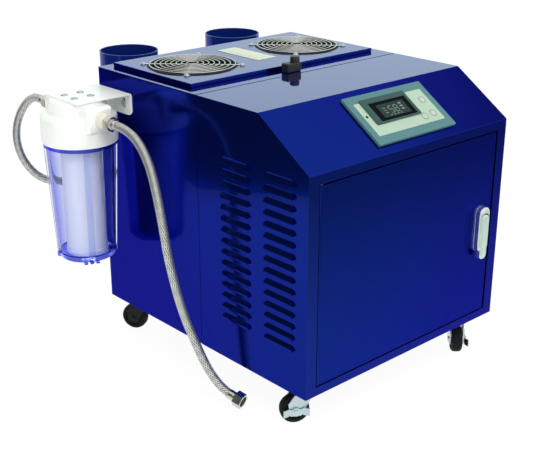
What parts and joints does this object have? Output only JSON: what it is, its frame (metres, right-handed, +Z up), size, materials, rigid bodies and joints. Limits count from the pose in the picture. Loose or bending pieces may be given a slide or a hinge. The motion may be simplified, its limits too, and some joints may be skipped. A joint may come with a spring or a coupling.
{
  "type": "ultrasonic humidifier",
  "caption": "Floor-standing ultrasonic fog humidifier in a glossy blue sheet-metal cabinet on castors, with top fans, fog outlets, sloped control panel, front door and side water filter.",
  "frame": {"origin": "on the floor, under the middle of the plan of the part without its hoses", "axes": "+Z up, the door faces -Y, the filter hangs on the -X side"},
  "size_m": [0.6284, 0.7189, 0.544],
  "materials": {
    "navy_paint": "high gloss",
    "stainless": "satin",
    "bright_wire": "polished",
    "zinc": "bright zinc plate",
    "handle_metal": "satin",
    "black_plastic": "fine grain",
    "black_rubber": "matt",
    "white_plastic": "satin",
    "cream_plastic": "satin",
    "bezel_plastic": "satin",
    "screen": "glossy",
    "circuit_board": "satin",
    "clear_blue": "clear tinted plastic",
    "filter_fibre": "matt",
    "float_plastic": "satin",
    "nickel": "polished",
    "steel_braid": "braided wire"
  },
  "bodies": {
    "cabinet": {"base_pan": "navy_paint", "front_frame": "navy_paint", "hood_panel": "navy_paint", "left_louvre_panel": "navy_paint", "right_louvre_panel": "navy_paint", "rear_casing": "navy_paint", "top_frame": "navy_paint", "fan_lid": "navy_paint", "fog_outlet_left": "navy_paint", "fog_outlet_right": "navy_paint", "bulkhead": "stainless", "water_tank": "stainless", "mist_generator": "stainless", "power_supply": "stainless", "fan_guards": "bright_wire", "fan_screws": "zinc", "bracket_screws": "zinc", "hinge_pins": "zinc", "castor_plates": "zinc", "drain_spigot": "zinc", "fan_frames": "black_plastic", "humidity_sensor": "black_plastic", "display_bezel": "black_plastic", "cable_gland": "black_plastic", "sump_seal": "black_rubber", "filter_bracket": "white_plastic", "filter_head": "white_plastic", "inlet_valve": "white_plastic", "panel_overlay": "cream_plastic", "port_adapters": "cream_plastic", "panel_bezel": "bezel_plastic", "display_window": "screen", "control_board": "circuit_board", "hose_nuts": "nickel", "supply_hose_end": "nickel", "water_inlet": "nickel", "supply_hose": "steel_braid", "feed_hose": "steel_braid"},
    "door": {"door": "navy_paint", "handle_base": "handle_metal"},
    "handle_hub": {"handle_spindle": "handle_metal"},
    "lever": {"handle_lever": "handle_metal"},
    "fan_left": {"fan_rotor_left": "black_plastic"},
    "fan_right": {"fan_rotor_right": "black_plastic"},
    "key_power": {"button_power": "white_plastic"},
    "key_up": {"button_up": "white_plastic"},
    "key_down": {"button_down": "white_plastic"},
    "float": {"float_arm": "float_plastic"},
    "sump": {"filter_sump": "clear_blue", "filter_cartridge": "filter_fibre"},
    "castor_fl": {"castor_fork_fl": "zinc"},
    "wheel_fl": {"castor_wheel_fl": "black_rubber"},
    "castor_fr": {"castor_fork_fr": "zinc"},
    "wheel_fr": {"castor_wheel_fr": "black_rubber"},
    "castor_rl": {"castor_fork_rl": "zinc"},
    "wheel_rl": {"castor_wheel_rl": "black_rubber"},
    "castor_rr": {"castor_fork_rr": "zinc"},
    "wheel_rr": {"castor_wheel_rr": "black_rubber"},
    "brake_fl": {"castor_brake_fl": "zinc"},
    "brake_fr": {"castor_brake_fr": "zinc"}
  },
  "joints": [
    {"name": "door_hinge", "type": "hinge", "parent": "cabinet", "child": "door", "pos_m": [-0.13775, -0.3114, 0.0895], "axis": [0, 0, -1], "range_deg": [0, 100]},
    {"name": "handle_turn", "type": "hinge", "parent": "door", "child": "handle_hub", "pos_m": [0.24725, -0.3254, 0.28], "axis": [0, 1, 0], "range_deg": [0, 90]},
    {"name": "handle_lift", "type": "hinge", "parent": "handle_hub", "child": "lever", "pos_m": [0.24725, -0.3314, 0.28], "axis": [-1, 0, 0], "range_deg": [0, 35]},
    {"name": "fan_left_spin", "type": "hinge", "parent": "cabinet", "child": "fan_left", "pos_m": [-0.05725, 0.0921, 0.4985], "axis": [0, 0, 1], "continuous": true},
    {"name": "fan_right_spin", "type": "hinge", "parent": "cabinet", "child": "fan_right", "pos_m": [0.19675, 0.0921, 0.4985], "axis": [0, 0, 1], "continuous": true},
    {"name": "float_swing", "type": "hinge", "parent": "cabinet", "child": "float", "pos_m": [-0.10025, -0.0054, 0.1895], "axis": [1, 0, 0], "range_deg": [0, 20]},
    {"name": "sump_turn", "type": "hinge", "parent": "cabinet", "child": "sump", "pos_m": [-0.24825, 0.1686, 0.41], "axis": [0, 0, 1], "continuous": true},
    {"name": "key_power_press", "type": "slide", "parent": "cabinet", "child": "key_power", "axis": [0, 0.5513, -0.8343], "range_m": [0, 0.0008], "stiffness_N_per_m": 800},
    {"name": "key_up_press", "type": "slide", "parent": "cabinet", "child": "key_up", "axis": [0, 0.5513, -0.8343], "range_m": [0, 0.0008], "stiffness_N_per_m": 800},
    {"name": "key_down_press", "type": "slide", "parent": "cabinet", "child": "key_down", "axis": [0, 0.5513, -0.8343], "range_m": [0, 0.0008], "stiffness_N_per_m": 800},
    {"name": "castor_fl_swivel", "type": "hinge", "parent": "cabinet", "child": "castor_fl", "pos_m": [-0.12525, -0.2744, 0.0657], "axis": [0, 0, 1], "continuous": true},
    {"name": "wheel_fl_roll", "type": "hinge", "parent": "castor_fl", "child": "wheel_fl", "pos_m": [-0.14257, -0.2644, 0.025], "axis": [-0.5, -0.866, 0], "continuous": true},
    {"name": "castor_fr_swivel", "type": "hinge", "parent": "cabinet", "child": "castor_fr", "pos_m": [0.26475, -0.2744, 0.0657], "axis": [0, 0, 1], "continuous": true},
    {"name": "wheel_fr_roll", "type": "hinge", "parent": "castor_fr", "child": "wheel_fr", "pos_m": [0.25137, -0.28926, 0.025], "axis": [0.7431, -0.6691, 0], "continuous": true},
    {"name": "castor_rl_swivel", "type": "hinge", "parent": "cabinet", "child": "castor_rl", "pos_m": [-0.12525, 0.1756, 0.0657], "axis": [0, 0, 1], "continuous": true},
    {"name": "wheel_rl_roll", "type": "hinge", "parent": "castor_rl", "child": "wheel_rl", "pos_m": [-0.13525, 0.19292, 0.025], "axis": [-0.866, -0.5, 0], "continuous": true},
    {"name": "castor_rr_swivel", "type": "hinge", "parent": "cabinet", "child": "castor_rr", "pos_m": [0.26475, 0.1756, 0.0657], "axis": [0, 0, 1], "continuous": true},
    {"name": "wheel_rr_roll", "type": "hinge", "parent": "castor_rr", "child": "wheel_rr", "pos_m": [0.26993, 0.19492, 0.025], "axis": [-0.9659, 0.2588, 0], "continuous": true},
    {"name": "brake_fl_rock", "type": "hinge", "parent": "castor_fl", "child": "brake_fl", "pos_m": [-0.15012, -0.27748, 0.025], "axis": [-0.5, -0.866, 0], "range_deg": [0, 18]},
    {"name": "brake_fr_rock", "type": "hinge", "parent": "castor_fr", "child": "brake_fr", "pos_m": [0.26259, -0.29937, 0.025], "axis": [0.7431, -0.6691, 0], "range_deg": [0, 18]}
  ]
}
